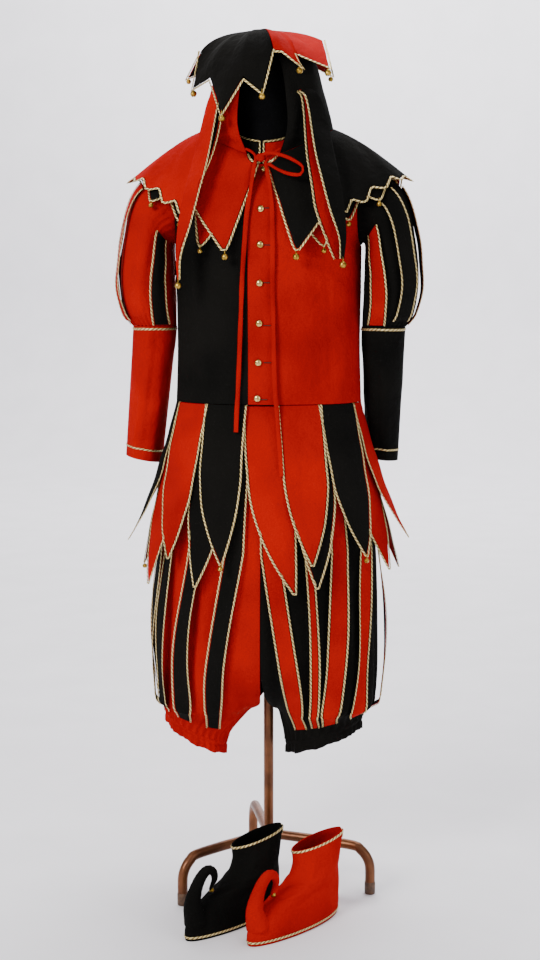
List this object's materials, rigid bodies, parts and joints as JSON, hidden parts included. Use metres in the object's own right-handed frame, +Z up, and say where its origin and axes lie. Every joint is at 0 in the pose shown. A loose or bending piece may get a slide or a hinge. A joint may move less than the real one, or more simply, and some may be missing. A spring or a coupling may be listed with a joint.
{
  "type": "jester costume on a dress form and stand",
  "caption": "Two-colour jester costume of cap, hood, dagged cape, puff-sleeved jacket, petal skirt, paned breeches and curl-toed shoes, shown on a limbless dress form and tube stand.",
  "frame": {"origin": "middle of the footprint of everything but the neck tie, at floor level", "axes": "+Z up, -Y the costume's front, +X the wearer's left"},
  "size_m": [0.5766, 0.5368, 1.6216],
  "materials": {
    "red_cloth": "matte woven gabardine",
    "black_cloth": "matte woven gabardine",
    "black_jersey": "matte stretch jersey",
    "brass": "polished",
    "bronze_paint": "satin hammered paint"
  },
  "bodies": {
    "costume": {"stand_base": "bronze_paint", "dress_form": "black_jersey", "stand_pole": "bronze_paint", "jacket_front_black": "black_cloth", "jacket_front_red": "red_cloth", "jacket_back_red": "red_cloth", "jacket_back_black": "black_cloth", "collar_black": "black_cloth", "collar_red": "red_cloth", "puff_red": "red_cloth", "sleeve_red": "red_cloth", "puff_black": "black_cloth", "sleeve_black": "black_cloth", "puff_panes_black_right": "black_cloth", "puff_panes_red_right": "red_cloth", "puff_panes_red_left": "red_cloth", "puff_panes_black_left": "black_cloth", "button_1": "brass", "button_2": "brass", "button_3": "brass", "button_4": "brass", "button_5": "brass", "button_6": "brass", "button_7": "brass", "skirt_petals_red": "red_cloth", "skirt_petals_black": "black_cloth", "skirt_underpetals_red": "red_cloth", "skirt_underpetals_black": "black_cloth", "breeches_red": "red_cloth", "breeches_black": "black_cloth", "knee_cuff_red": "red_cloth", "knee_cuff_black": "black_cloth", "breeches_panes_black": "black_cloth", "breeches_panes_red": "red_cloth", "hood_red": "red_cloth", "hood_black": "black_cloth", "cape_red": "red_cloth", "cape_black": "black_cloth", "undercape_right": "black_cloth", "undercape_left": "black_cloth", "ear_red": "red_cloth", "ear_black": "black_cloth", "cap_front_black": "black_cloth", "cap_front_red": "red_cloth", "cap_back_black": "black_cloth", "cap_back_red": "red_cloth", "shoe_red": "red_cloth", "shoe_black": "black_cloth", "tie_left": "red_cloth", "tie_right": "red_cloth", "tie_bow": "red_cloth"},
    "bell_cap_1": {"bell_cap_1": "brass"},
    "bell_cap_2": {"bell_cap_2": "brass"},
    "bell_cap_3": {"bell_cap_3": "brass"},
    "bell_cap_4": {"bell_cap_4": "brass"},
    "bell_cap_5": {"bell_cap_5": "brass"},
    "bell_ear_red": {"bell_ear_red": "brass"},
    "bell_ear_black": {"bell_ear_black": "brass"},
    "bell_cape_red": {"bell_cape_red": "brass"},
    "bell_cape_black": {"bell_cape_black": "brass"}
  },
  "joints": [
    {"name": "bell_cap_1_swing", "type": "hinge", "parent": "costume", "child": "bell_cap_1", "pos_m": [-0.1389, 0.0443, 1.5193], "axis": [0, 1, 0], "range_deg": [-25, 25]},
    {"name": "bell_cap_2_swing", "type": "hinge", "parent": "costume", "child": "bell_cap_2", "pos_m": [-0.0719, -0.0637, 1.4633], "axis": [1, 0, 0], "range_deg": [-25, 25]},
    {"name": "bell_cap_3_swing", "type": "hinge", "parent": "costume", "child": "bell_cap_3", "pos_m": [0.0011, -0.0717, 1.4993], "axis": [1, 0, 0], "range_deg": [-25, 25]},
    {"name": "bell_cap_4_swing", "type": "hinge", "parent": "costume", "child": "bell_cap_4", "pos_m": [0.0671, -0.0657, 1.5443], "axis": [1, 0, 0], "range_deg": [-25, 25]},
    {"name": "bell_cap_5_swing", "type": "hinge", "parent": "costume", "child": "bell_cap_5", "pos_m": [0.1151, -0.0297, 1.5443], "axis": [0, 1, 0], "range_deg": [-25, 25]},
    {"name": "bell_ear_red_swing", "type": "hinge", "parent": "costume", "child": "bell_ear_red", "pos_m": [-0.1487, -0.0879, 1.1673], "axis": [1, 0, 0], "range_deg": [-25, 25]},
    {"name": "bell_ear_black_swing", "type": "hinge", "parent": "costume", "child": "bell_ear_black", "pos_m": [0.1469, -0.0879, 1.2043], "axis": [1, 0, 0], "range_deg": [-25, 25]},
    {"name": "bell_cape_red_swing", "type": "hinge", "parent": "costume", "child": "bell_cape_red", "pos_m": [-0.0649, -0.0817, 1.2183], "axis": [1, 0, 0], "range_deg": [-25, 25]},
    {"name": "bell_cape_black_swing", "type": "hinge", "parent": "costume", "child": "bell_cape_black", "pos_m": [0.0631, -0.0817, 1.2183], "axis": [1, 0, 0], "range_deg": [-25, 25]}
  ]
}
